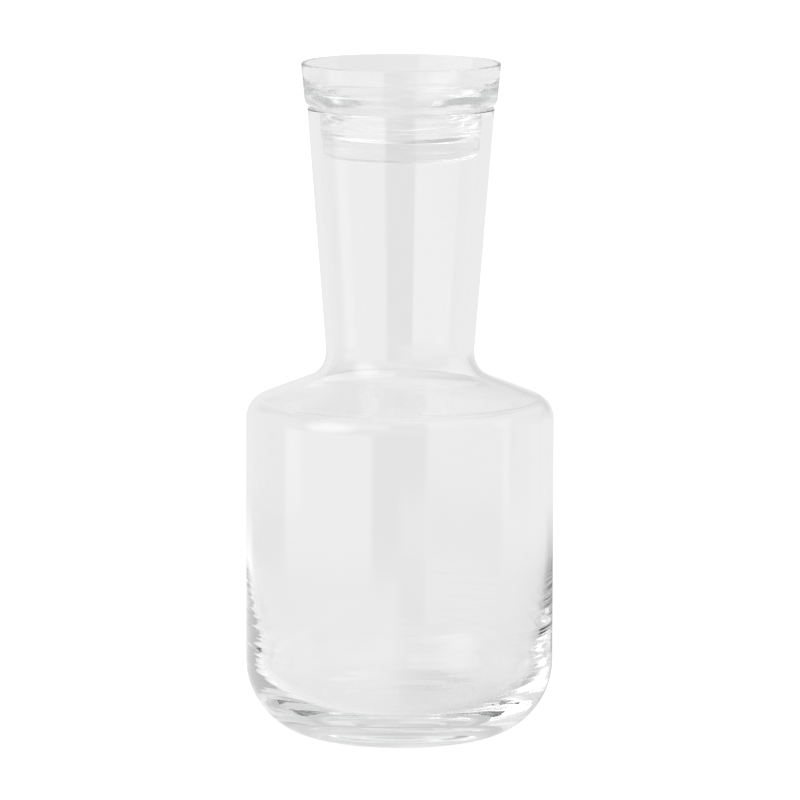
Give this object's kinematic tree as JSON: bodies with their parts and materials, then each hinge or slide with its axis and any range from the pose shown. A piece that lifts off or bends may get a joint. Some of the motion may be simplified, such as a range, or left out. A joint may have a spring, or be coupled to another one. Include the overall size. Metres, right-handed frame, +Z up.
{
  "type": "carafe with tumbler",
  "caption": "Clear glass carafe with a straight body and an opening neck, closed by a shallow glass tumbler whose tapered foot hangs in the mouth.",
  "frame": {"origin": "centre of the base, on the plane of the flat ring that the carafe stands on", "axes": "+Z up along the axis of both pieces, which are round, so +X and +Y are arbitrary"},
  "size_m": [0.105, 0.105, 0.2307],
  "materials": {
    "carafe_glass": "clear blown soda-lime glass, fire-polished",
    "tumbler_glass": "clear pressed soda-lime glass, fire-polished"
  },
  "bodies": {
    "carafe": {"carafe": "carafe_glass"},
    "tumbler": {"tumbler": "tumbler_glass"}
  },
  "joints": [
    {"name": "tumbler_lift", "type": "slide", "parent": "carafe", "child": "tumbler", "axis": [0, 0, 1], "range_m": [0, 0.06]}
  ]
}
